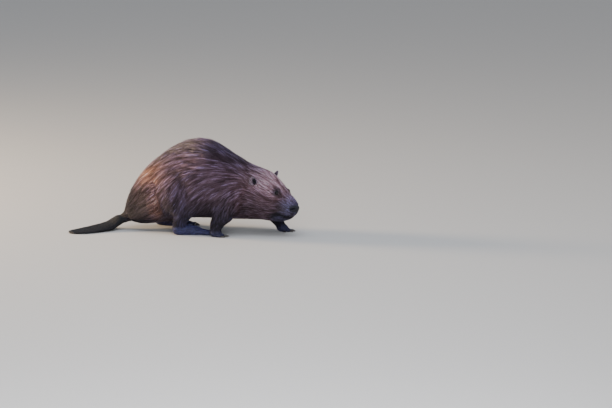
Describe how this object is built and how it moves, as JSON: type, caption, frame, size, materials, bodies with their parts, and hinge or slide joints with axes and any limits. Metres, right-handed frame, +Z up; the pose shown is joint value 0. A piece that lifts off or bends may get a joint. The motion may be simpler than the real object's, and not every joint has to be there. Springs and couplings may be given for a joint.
{
  "type": "beaver, museum-type life-size model",
  "caption": "Life-size still model of a walking beaver: humped furry body, blunt head held low, webbed hind feet, clawed forefeet and a flat scaly tail laid on the floor.",
  "frame": {"origin": "middle of the whole model's box, at the level of the soles", "axes": "+X along the body towards the head, +Y to the animal's left, +Z up; the head turns to the right and the tail bends to the right"},
  "size_m": [0.6954, 0.2622, 0.285],
  "materials": {
    "fur": "dense brown coat of coarse guard hair over short under fur, lighter at the hair tips",
    "ear_fur": "short dark fur with a thin paler rim",
    "foot_skin": "dark slate skin, finely scaled and creased, satin",
    "tail_scales": "near-black hexagonal scales, satin, a little damp",
    "nose_skin": "black grained bare skin, damp",
    "horn": "dark brown horn, satin, fine lengthwise grain",
    "eye": "near-black wet eye"
  },
  "bodies": {
    "root": {"tail_base": "fur", "rump": "fur", "trunk": "fur", "shoulders": "fur", "neck": "fur", "head": "fur", "muzzle": "fur", "lower_jaw": "fur", "thigh_right": "fur", "thigh_left": "fur", "shank_right": "fur", "shank_left": "fur", "upper_arm_right": "fur", "upper_arm_left": "fur", "forearm_right": "fur", "forearm_left": "fur", "ear_right": "ear_fur", "ear_left": "ear_fur", "hind_foot_right": "foot_skin", "hind_foot_left": "foot_skin", "fore_foot_right": "foot_skin", "fore_foot_left": "foot_skin", "tail": "tail_scales", "nose": "nose_skin", "hind_claw_right_1": "horn", "hind_claw_right_2": "horn", "hind_claw_right_3": "horn", "hind_claw_right_4": "horn", "hind_claw_right_5": "horn", "hind_claw_left_1": "horn", "hind_claw_left_2": "horn", "hind_claw_left_3": "horn", "hind_claw_left_4": "horn", "hind_claw_left_5": "horn", "fore_claw_right_1": "horn", "fore_claw_right_2": "horn", "fore_claw_right_3": "horn", "fore_claw_right_4": "horn", "fore_claw_right_5": "horn", "fore_claw_left_1": "horn", "fore_claw_left_2": "horn", "fore_claw_left_3": "horn", "fore_claw_left_4": "horn", "fore_claw_left_5": "horn", "eye_right": "eye", "eye_left": "eye"}
  },
  "joints": []
}
